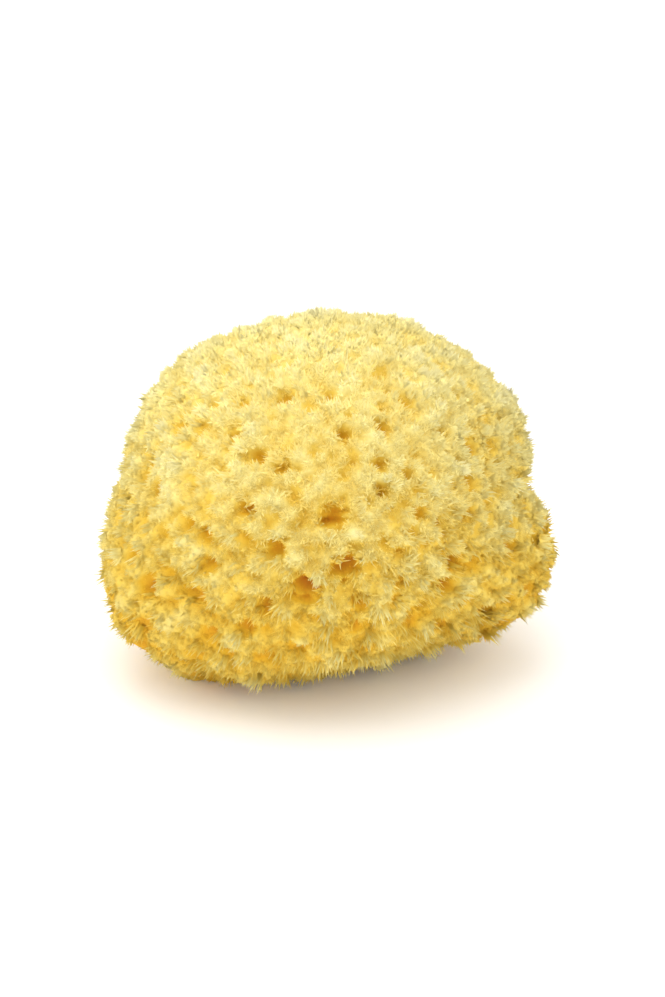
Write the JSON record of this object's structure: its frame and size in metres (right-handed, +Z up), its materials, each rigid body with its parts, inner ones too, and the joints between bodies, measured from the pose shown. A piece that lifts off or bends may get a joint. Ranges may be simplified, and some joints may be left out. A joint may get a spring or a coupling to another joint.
{
  "type": "sea sponge",
  "caption": "Natural dried bath sponge: a rounded, lobed lump with a close pile of soft tufts, water-channel holes between them and a flat cut foot.",
  "frame": {"origin": "on the ground, under the middle of the sponge's box", "axes": "+Z up, +X to the viewer's right along the sponge's longest side, +Y away from the viewer"},
  "size_m": [0.1436, 0.125, 0.1085],
  "materials": {
    "sponge_skeleton": "matt, fibrous, dried sponge skeleton, pale at the tips of the tufts and deep yellow to orange in the holes"
  },
  "bodies": {
    "root": {"sponge": "sponge_skeleton"}
  },
  "joints": []
}
